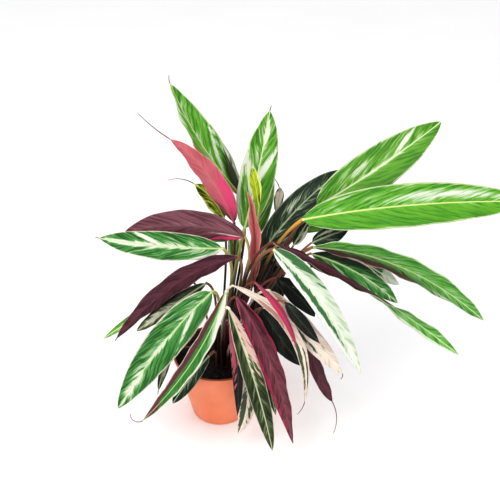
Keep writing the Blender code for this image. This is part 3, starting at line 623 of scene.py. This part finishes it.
def tissue(name, key, roughness):
    """Streaked leaf tissue with cream, dark and blush areas, a rib and an edge."""
    material, tree = new_material(name, roughness)
    tones, contrast = TISSUES[key]
    tint = {part: linear(tone, LEAF_SHARE) for part, tone in zip(PARTS, tones.split())}
    share = add(tree, "SeparateXYZ", {0: add(tree, "UVMap", uv_map="UVMap")[0]})
    place = add(tree, "SeparateXYZ", {0: add(tree, "Attribute", attribute_name="blade_mm")[1]})
    marks = add(tree, "SeparateXYZ", {0: add(tree, "Attribute", attribute_name="marks")[1]})
    calm = add(tree, "Attribute", attribute_name="calm")[2]

    # The side vein that a spot lies on, and noise stretched along it
    aside = add(tree, "Math", {0: place[0]}, operation="ABSOLUTE")[0]
    side = add(tree, "Math", {0: place[0]}, operation="SIGN")[0]
    bend = add(tree, "Math", {0: aside, 1: VEIN_BEND, 2: VEIN_SLOPE}, operation="MULTIPLY_ADD")[0]
    reach = add(tree, "Math", {0: aside, 1: bend}, operation="MULTIPLY")[0]
    vein = add(tree, "Math", {0: place[1], 1: reach}, operation="SUBTRACT")[0]
    seed = add(tree, "Math", {0: side, 1: SIDE_SEED, 2: place[2]}, operation="MULTIPLY_ADD")[0]
    waver = add(tree, "CombineXYZ", {0: place[1], 1: aside, 2: seed})[0]
    waver = add(tree, "TexNoise", {"Vector": waver, "Scale": WAVER_SCALE, "Detail": 1.0})[0]
    wavy_vein = add(tree, "Math", {0: waver, 1: WAVER_REACH, 2: vein}, operation="MULTIPLY_ADD")[0]
    noises = []
    for squeeze, scale in STREAKS:
        slow = add(tree, "Math", {0: aside, 1: squeeze}, operation="MULTIPLY")[0]
        spot = add(tree, "CombineXYZ", {0: wavy_vein, 1: slow, 2: seed})[0]
        grain = {"Vector": spot, "Scale": scale, "Detail": 2.0, "Roughness": 0.55}
        noises.append(add(tree, "TexNoise", grain)[0])
    streak, fine = noises
    from_middle = add(tree, "Math", {0: share[0], 1: 2.0, 2: -1.0}, operation="MULTIPLY_ADD")[0]
    across = add(tree, "Math", {0: from_middle}, operation="ABSOLUTE")[0]

    # How pale a spot is: the streaks, the fine strokes, the nearness of the rib and the cream areas
    paleness = MIDDLE_TONE - (STREAK_LIFT + FINE_LIFT) / 2 * contrast
    for noise, lift in ((streak, STREAK_LIFT * contrast), (fine, FINE_LIFT * contrast)):
        paleness = add(tree, "Math", {0: noise, 1: lift, 2: paleness}, operation="MULTIPLY_ADD")[0]
    near_rib = add(tree, "MapRange", {0: across, **NEAR_RIB, 4: RIB_LIFT * contrast})[0]
    paleness = add(tree, "Math", {0: paleness, 1: near_rib}, operation="ADD")[0]
    calm = add(tree, "MapRange", {0: calm, **CALM_AREA})[0]
    paleness = add(tree, "Mix", {0: calm, 2: paleness, 3: CALM_TONE})[0]
    cream = add(tree, "MapRange", {0: marks[0], **CREAM_AREA})[0]
    paleness = add(tree, "Math", {0: paleness, 1: cream}, operation="ADD")[0]
    layers = []
    for tone, low, high in TONES:
        mask = add(tree, "MapRange", {0: paleness, 1: low, 2: high}, interpolation_type="SMOOTHSTEP")[0]
        layers.append((mask, tint[tone]))

    # Dark and blush areas with feathered ends, which are straighter where the leaf is calm
    jitter = add(tree, "Math", {0: streak, 1: 2.2, 2: -1.4}, operation="MULTIPLY_ADD")[0]
    jitter = add(tree, "Math", {0: fine, 1: 0.6, 2: jitter}, operation="MULTIPLY_ADD")[0]
    steady = add(tree, "MapRange", {0: calm, **STEADYING})[0]
    jitter = add(tree, "Math", {0: jitter, 1: steady}, operation="MULTIPLY")[0]
    for field, tone in ((marks[1], "shade"), (marks[2], "blush")):
        edge = add(tree, "Math", {0: field, 1: jitter}, operation="ADD")[0]
        mask = add(tree, "MapRange", {0: edge, **MARK_AREA}, interpolation_type="SMOOTHSTEP")[0]
        layers.append((mask, tint[tone]))

    # The rib, the edge and the dry thread at the tip; then all layers go over the deep tone
    half_rib = add(tree, "MapRange", {0: share[1], **RIB_HALF_WIDTH})[0]
    rib = add(tree, "Math", {0: aside, 1: half_rib}, operation="DIVIDE")[0]
    rib = add(tree, "MapRange", {0: rib, **RIB_LINE}, interpolation_type="SMOOTHSTEP")[0]
    rim = add(tree, "Math", {0: streak, 1: RIM_RAGGEDNESS, 2: across}, operation="MULTIPLY_ADD")[0]
    rim = add(tree, "MapRange", {0: rim, **RIM_LINE})[0]
    thread = add(tree, "MapRange", {0: share[1], **THREAD_LINE})[0]
    layers += [(rib, tint["rib"]), (rim, tint["edge"]), (thread, linear(THREAD))]
    colour = tint["deep"]
    for mask, tone in layers:
        colour = add(tree, "Mix", {0: mask, 6: colour, 7: tone}, data_type="RGBA")[2]

    pleat = add(tree, "Math", {0: vein, 1: PLEAT_WIDTH}, operation="PINGPONG")[0]
    relief = add(tree, "Math", {0: fine, 1: FINE_RELIEF, 2: pleat}, operation="MULTIPLY_ADD")[0]
    return dress(material, colour, relief, 0.35, 0.25)


def stalk(name, low, high):
    """A leaf stem: firm, smooth and faintly ribbed lengthwise, darker toward the soil."""
    material, tree = new_material(name, 0.42)
    place = add(tree, "SeparateXYZ", {0: add(tree, "Attribute", attribute_name="blade_mm")[1]})
    slow = add(tree, "Math", {0: place[1], 1: 0.02}, operation="MULTIPLY")[0]
    spot = add(tree, "CombineXYZ", {0: place[0], 1: slow, 2: place[2]})[0]
    fibre = add(tree, "TexNoise", {"Vector": spot, "Scale": 1.1, "Detail": 3.0})[0]
    height = add(tree, "Math", {0: fibre, 1: 90.0, 2: place[1]}, operation="MULTIPLY_ADD")[0]
    tone = add(tree, "MapRange", {0: height, 1: -60.0, 2: 40.0})[0]
    colour = add(tree, "Mix", {0: tone, 6: linear(low), 7: linear(high)}, data_type="RGBA")[2]
    return dress(material, colour, fibre, 0.3, 0.2)


# Waxy blades give a soft sheen, so their roughness is middling; undersides are a little duller.
uppers = sorted({leaf.upper for leaf in LEAVES})
unders = sorted({leaf.under for leaf in LEAVES})
upper_materials = {key: tissue("waxy_leaf_" + key, key, 0.42) for key in uppers}
under_materials = {key: tissue("leaf_underside_" + key, key, 0.5) for key in unders}
stem_materials = {key: stalk("leaf_stem_" + key, *tones) for key, tones in STEM_TONES.items()}
print("leaf materials:", len(upper_materials) + len(under_materials) + len(stem_materials))

# %% [markdown]
# ## Growing the leaves
# Each leaf starts as a grid, is rolled into its tube, and has its seam merged and its two ends
# closed in edit mode. It carries attributes for its materials: the place on the blade in
# millimetres with a seed that makes each leaf's streaks its own, and the cream, dark, blush and calm
# fields. The three material slots are the upper side, the underside and the stem.

# %% Grow the leaves
def grow_leaf(leaf, path, number):
    """One leaf as a closed skin, standing for its solid."""
    rng = random.Random(number)
    points, directions, normals, _ = spine(leaf, np.array([0.0, 0.01]), TAIL_STEPS)
    stem, below = stem_rings(leaf, path, directions[0], np.cross(directions[0], normals[0]))
    blade, x, along, share = blade_rings(leaf, along_steps, rng)
    length = blade_length(leaf)
    columns = 2 * COLUMNS
    rings = np.concatenate([stem, blade])
    rows = len(rings)
    stem_x = leaf.form.stem * np.cos(RING_ANGLES)[None, :] * UPPER[None, :].clip(0.5)
    x = np.concatenate([np.repeat(stem_x, len(stem), 0), x])
    y = np.concatenate([below, along])[:, None] + np.zeros((1, columns))
    blade_marks = mark_fields(leaf, x[len(stem):], along, length)
    marks = np.concatenate([np.full((len(stem), columns, 4), -1.0), blade_marks])
    share = share + np.clip(along - length, 0, None) / max(leaf.tail[0], 1)
    v = np.concatenate([np.zeros(len(stem)), share])[:, None] + np.zeros((1, columns))
    u = np.repeat((ACROSS[None, :] + 1) / 2, rows, 0)

    bpy.ops.mesh.primitive_grid_add(x_subdivisions=columns, y_subdivisions=rows - 1, location=(0, 0, 0))
    piece = bpy.context.object
    piece.name = leaf.name + "_leaf"
    mesh = piece.data
    seam = np.arange(columns + 1) % columns
    mesh.vertices.foreach_set("co", (rings[:, seam] * MM).astype(np.float32).ravel())
    place = np.stack([x, y, np.full(x.shape, number * SEED_STEP)], -1)
    for name, values in (("blade_mm", place), ("marks", marks[..., :3])):
        layer = mesh.attributes.new(name, "FLOAT_VECTOR", "POINT")
        layer.data.foreach_set("vector", values[:, seam].astype(np.float32).ravel())
    layer = mesh.attributes.new("calm", "FLOAT", "POINT")
    layer.data.foreach_set("value", marks[:, seam, 3].astype(np.float32).ravel())
    corners = np.empty(len(mesh.loops), np.int32)
    mesh.loops.foreach_get("vertex_index", corners)
    uv = np.stack([u, v], -1)[:, seam].reshape(-1, 2)[corners]
    mesh.uv_layers[0].name = "UVMap"
    mesh.uv_layers["UVMap"].uv.foreach_set("vector", uv.astype(np.float32).ravel())
    sides = np.where(np.arange(columns) < COLUMNS, 0, 1)
    sides = np.repeat(sides[None, :], rows - 1, 0)
    sides[:len(stem)] = 2
    mesh.polygons.foreach_set("material_index", sides.astype(np.int32).ravel())
    mesh.materials.append(upper_materials[leaf.upper])
    mesh.materials.append(under_materials[leaf.under])
    mesh.materials.append(stem_materials[leaf.stem])
    close_skin(0.001 * MM)
    piece.select_set(False)
    finish_piece(piece, "leaf_" + leaf.name)
    return piece


leaves = [grow_leaf(leaf, path, number) for number, (leaf, path) in enumerate(zip(LEAVES, stem_paths))]
print("leaf triangles:", sum(2 * len(piece.data.polygons) for piece in leaves))

# %% [markdown]
# ## Pot
# The pot is injection-moulded plastic: a thin tapered wall with a lip, a flat foot and drainage
# holes. It is made the way it is drawn, as a half section spun once round its axis, and small
# bevels drawn in the section cut its corners so that they catch the light.

# %% Make the pot
POT_HEIGHT = 111
RIM_DIAMETER = 140
FOOT_DIAMETER = 86
POT_WALL = 1.8
POT_FLOOR = 2.4
LIP_HEIGHT = 7
LIP_STEP = 0.9
POT_STEPS = 144
DRAIN_HOLES = 6
DRAIN_DIAMETER = 9
DRAIN_RING_DIAMETER = 56


def pot_radius(height):
    """Outer radius of the tapered wall under the lip."""
    top = RIM_DIAMETER / 2 - LIP_STEP
    return FOOT_DIAMETER / 2 + (top - FOOT_DIAMETER / 2) * height / POT_HEIGHT


def pot_inner_radius(height):
    """Inner radius of the wall."""
    low = FOOT_DIAMETER / 2 - POT_WALL
    top = RIM_DIAMETER / 2 - POT_WALL - LIP_STEP
    return low + (top - low) * (height - POT_FLOOR) / (POT_HEIGHT - POT_FLOOR)


def moulded_plastic():
    """Terracotta-coloured polypropylene: satin, cloudy, finely grained, with painted shade inside and on
    the rim.
    """
    material, tree = new_material("moulded_terracotta_plastic", 0.42, 0.4)
    colour, _, where = clouded(tree, 22.0, 4.0, (0.3, 0.7), "E2794E", "EE8A62")
    x, y, height = add(tree, "SeparateXYZ", {0: where})
    flat = add(tree, "CombineXYZ", {0: x, 1: y})[0]
    radius = add(tree, "VectorMath", {0: flat}, operation="LENGTH")[1]
    # Painted shade: inside the outer surface (the inner wall, the floor and the foot's underside) the
    # plastic is darkened as if in shadow.
    taper = (RIM_DIAMETER / 2 - LIP_STEP - FOOT_DIAMETER / 2) / POT_HEIGHT
    beside = add(tree, "Math", {0: height, 1: -taper, 2: radius}, operation="MULTIPLY_ADD")[0]
    inner = (FOOT_DIAMETER / 2 - POT_WALL) * MM
    painted_inner_shade = add(tree, "MapRange", {0: beside, 1: inner + 1.2 * MM, 2: inner + 0.4 * MM})[0]
    colour = add(tree, "Mix", {0: painted_inner_shade, 6: colour, 7: linear("3A1C12")}, data_type="RGBA")[2]
    # Painted shade: the top 2.4 mm of the pot, round the rim, is darkened to red-brown as if shaded by
    # the leaves.
    rim = add(tree, "MapRange", {0: height, 1: (POT_HEIGHT - 2.4) * MM, 2: (POT_HEIGHT - 1.4) * MM})[0]
    colour = add(tree, "Mix", {0: rim, 6: colour, 7: linear("8E3E22")}, data_type="RGBA")[2]
    grain = add(tree, "TexNoise", {"Vector": where, "Scale": 900.0, "Detail": 2.0})[0]
    return dress(material, colour, grain, 0.15, 0.1)


def make_pot():
    """The pot's half section spun round its axis, with drainage holes and bevelled corners."""
    lip = POT_HEIGHT - LIP_HEIGHT
    rim = RIM_DIAMETER / 2
    section = (
        (0, 0), (FOOT_DIAMETER / 2 - 2.5, 0), (pot_radius(0.7) - 0.7, 0.7), (pot_radius(2.5), 2.5),
        (pot_radius(lip), lip), (rim - 0.4, lip + 0.7), (rim, lip + 1.5), (rim, POT_HEIGHT - 0.7),
        (rim - 0.7, POT_HEIGHT), (rim - POT_WALL, POT_HEIGHT),
        (pot_inner_radius(POT_HEIGHT), POT_HEIGHT - 0.8),
        (pot_inner_radius(POT_FLOOR + 2), POT_FLOOR + 2), (pot_inner_radius(POT_FLOOR) - 1.5, POT_FLOOR),
        (0, POT_FLOOR),
    )
    bpy.ops.mesh.primitive_circle_add(vertices=len(section), location=(0, 0, 0))
    pot = bpy.context.object
    pot.name = "nursery_pot"
    for vertex, (radius, height) in zip(pot.data.vertices, section):
        vertex.co = (radius * MM, 0, height * MM)
    bpy.ops.object.mode_set(mode="EDIT")
    bpy.ops.mesh.select_all(action="SELECT")
    bpy.ops.mesh.spin(steps=POT_STEPS, angle=2 * math.pi, center=(0, 0, 0), axis=(0, 0, 1))
    bpy.ops.mesh.select_all(action="SELECT")
    bpy.ops.mesh.remove_doubles(threshold=0.01 * MM)
    bpy.ops.mesh.select_all(action="DESELECT")
    bpy.ops.mesh.select_loose()
    bpy.ops.mesh.delete(type="EDGE")
    bpy.ops.mesh.select_all(action="SELECT")
    bpy.ops.mesh.normals_make_consistent(inside=False)
    bpy.ops.object.mode_set(mode="OBJECT")
    for k in range(DRAIN_HOLES):
        angle = 2 * math.pi * k / DRAIN_HOLES
        ring = DRAIN_RING_DIAMETER / 2 * MM
        bpy.ops.mesh.primitive_cylinder_add(vertices=32, radius=DRAIN_DIAMETER / 2 * MM, depth=10 * MM,
                                            location=(ring * math.cos(angle), ring * math.sin(angle), 0))
        cutter = bpy.context.object
        cut = pot.modifiers.new("drain", "BOOLEAN")
        cut.object = cutter
        bpy.context.view_layer.objects.active = pot
        bpy.ops.object.modifier_apply(modifier=cut.name)
        bpy.data.objects.remove(cutter)
    pot.data.materials.append(moulded_plastic())
    finish_piece(pot, "pot", smooth_angle=35)
    return pot


pot = make_pot()
print("pot faces:", len(pot.data.polygons))

# %% [markdown]
# ## Soil
# Potting mix is dark, moist and crumbly. Its body is a drum that fills the pot, with its top pushed
# up and down by noise. Over it lie hundreds of small crumbs and a few pale grains of perlite and
# chips of bark, each a small rough ball half sunk in, drawn with a fixed seed.

# %% Make the soil
SOIL_SIDES = 96
SOIL_TOP_RINGS = 26
SOIL_LEVELS = (2.7, 50, 95)
SOIL_CLEARANCE = 0.3
CRUMBS = 620
GRAINS = 46
CRUMB_LIFT = 0.25


def potting_mix():
    """Peat: nearly black, matt and coarse, with brown fibres and a few pale specks."""
    material, tree = new_material("moist_potting_mix", 0.9)
    colour, crumbs, where = clouded(tree, 260.0, 6.0, (0.4, 0.75), "090605", "33251C", 0.7)
    specks = add(tree, "TexNoise", {"Vector": where, "Scale": 900.0, "Detail": 1.0})[0]
    specks = add(tree, "MapRange", {0: specks, 1: 0.74, 2: 0.78})[0]
    colour = add(tree, "Mix", {0: specks, 6: colour, 7: linear("8C8474")}, data_type="RGBA")[2]
    return dress(material, colour, crumbs, 0.8, 1.2)


def soil_radius(height):
    """How far the soil reaches at a height, clear of the pot's wall."""
    return pot_inner_radius(height) - SOIL_CLEARANCE


def lump(x, y):
    """Height of the crumbly surface above the soil's level, in millimetres."""
    waves = math.sin(x / 7 + 1.3) * math.sin(y / 8 + 0.4) + 0.6 * math.sin(x / 3.1 + y / 4.3)
    return 0.7 * waves


def make_soil():
    """The soil's body: a drum with a lumpy top."""
    levels = [(soil_radius(height), height) for height in SOIL_LEVELS]
    top = soil_radius(96) - 0.5
    levels += [(top * (SOIL_TOP_RINGS - k) / SOIL_TOP_RINGS, SOIL_TOP) for k in range(SOIL_TOP_RINGS)]
    rows = len(levels) - 1
    bpy.ops.mesh.primitive_grid_add(x_subdivisions=SOIL_SIDES, y_subdivisions=rows, location=(0, 0, 0))
    soil = bpy.context.object
    soil.name = "potting_soil"
    for number, vertex in enumerate(soil.data.vertices):
        row, column = divmod(number, SOIL_SIDES + 1)
        radius, height = levels[row]
        angle = 2 * math.pi * column / SOIL_SIDES
        x = radius * math.cos(angle)
        y = radius * math.sin(angle)
        vertex.co = (x * MM, y * MM, (height + (lump(x, y) if row > 2 else 0)) * MM)
    close_skin(0.01 * MM)
    soil.data.materials.append(potting_mix())
    finish_piece(soil, "soil")
    return soil


def scatter(name, count, material, sizes, seed, flatness):
    """Many small rough balls half sunk in the soil, as one mesh."""
    rng = random.Random(seed)
    shape = bmesh.new()
    for _ in range(count):
        reach = (soil_radius(97) - 3) * math.sqrt(rng.random())
        angle = rng.uniform(0, 2 * math.pi)
        x = reach * math.cos(angle)
        y = reach * math.sin(angle)
        size = rng.uniform(*sizes)
        ball = bmesh.ops.create_icosphere(shape, subdivisions=1, radius=1.0)["verts"]
        stretch = (rng.uniform(0.7, 1.3), rng.uniform(0.7, 1.3), flatness * rng.uniform(0.7, 1.1))
        turn = rng.uniform(0, math.pi)
        for vertex in ball:
            rough = size * rng.uniform(0.75, 1.15)
            a = vertex.co.x * stretch[0] * rough
            b = vertex.co.y * stretch[1] * rough
            height = SOIL_TOP + lump(x, y) + size * CRUMB_LIFT + vertex.co.z * stretch[2] * rough
            vertex.co = ((x + a * math.cos(turn) - b * math.sin(turn)) * MM,
                         (y + a * math.sin(turn) + b * math.cos(turn)) * MM, height * MM)
    mesh = bpy.data.meshes.new(name)
    shape.to_mesh(mesh)
    shape.free()
    piece = bpy.data.objects.new(name, mesh)
    bpy.context.collection.objects.link(piece)
    mesh.materials.append(material)
    finish_piece(piece)
    return piece


def perlite():
    """Perlite and bark: chalky grains whose tone changes from grain to grain."""
    material, tree = new_material("chalky_perlite_and_bark", 0.85)
    return dress(material, clouded(tree, 70.0, 1.0, (0.42, 0.58), "5A4030", "B8AE9C")[0])


soil = make_soil()
peat = soil.data.materials[0]
crumbs = scatter("soil_crumbs", CRUMBS, peat, sizes=(0.7, 2.2), seed=11, flatness=0.8)
grains = scatter("soil_grains", GRAINS, perlite(), sizes=(0.5, 1.1), seed=12, flatness=0.6)
print("soil faces:", len(soil.data.polygons) + len(crumbs.data.polygons) + len(grains.data.polygons))

# %% [markdown]
# ## Floor, light and camera
# The plant stands on a plain white sweep in bright, even studio light: a white surround, one large
# soft light from the upper left and a weaker one from the right. The camera looks 30 degrees down
# from about a metre away, as it did for the photograph.

# %% Stage and camera
FLOOR_RADIUS = 12
PLANT_MIDDLE = (0.08, 0, 0.25)
SURROUND_STRENGTH = 0.965
CAMERA_PLACE = (0.048, -0.988, 0.861)
CAMERA_TILT = 60
CAMERA_LENS = 57.6
SENSOR_WIDTH = 36
VIEW_GAMMA = 0.9


def white_sweep():
    """Matt white board: plain, with a barely seen cloudiness."""
    material, tree = new_material("matt_white_board", 0.8)
    return dress(material, clouded(tree, 3.0, 2.0, (0.0, 1.0), "F8F8F9", "FCFCFC")[0])


def soft_light(name, place, size, power):
    """A square soft light at a place, aimed at the middle of the plant."""
    lamp = bpy.data.lights.new(name, "AREA")
    lamp.size = size
    lamp.energy = power
    holder = bpy.data.objects.new(name, lamp)
    bpy.context.collection.objects.link(holder)
    holder.location = place
    aim = np.array(PLANT_MIDDLE, float) - np.array(place, float)
    flat = math.hypot(aim[0], aim[1])
    holder.rotation_euler = (math.atan2(flat, -aim[2]), 0, math.atan2(aim[1], aim[0]) - math.pi / 2)
    return holder


bpy.ops.mesh.primitive_circle_add(vertices=96, radius=FLOOR_RADIUS, fill_type="NGON", location=(0, 0, 0))
floor = bpy.context.object
floor.name = "white_floor"
floor.data.materials.append(white_sweep())
floor.select_set(False)

world = bpy.data.worlds.new("white_surround")
world.use_nodes = True
world.node_tree.nodes["Background"].inputs["Color"].default_value = (1, 1, 1, 1)
world.node_tree.nodes["Background"].inputs["Strength"].default_value = SURROUND_STRENGTH
bpy.context.scene.world = world
soft_light("key_light", (-1.1, -1.3, 1.9), size=1.2, power=30)
soft_light("fill_light", (1.6, -1.0, 1.2), size=1.4, power=8)

view = bpy.data.cameras.new("photograph_view")
view.sensor_width = SENSOR_WIDTH
view.lens = CAMERA_LENS
view.clip_end = 60
camera = bpy.data.objects.new("photograph_view", view)
bpy.context.collection.objects.link(camera)
camera.location = CAMERA_PLACE
camera.rotation_euler = (math.radians(CAMERA_TILT), 0, 0)
bpy.context.scene.camera = camera
bpy.context.scene.view_settings.view_transform = "Standard"
bpy.context.scene.view_settings.look = "None"
bpy.context.scene.view_settings.gamma = VIEW_GAMMA
print("camera at:", [round(v, 3) for v in camera.location])
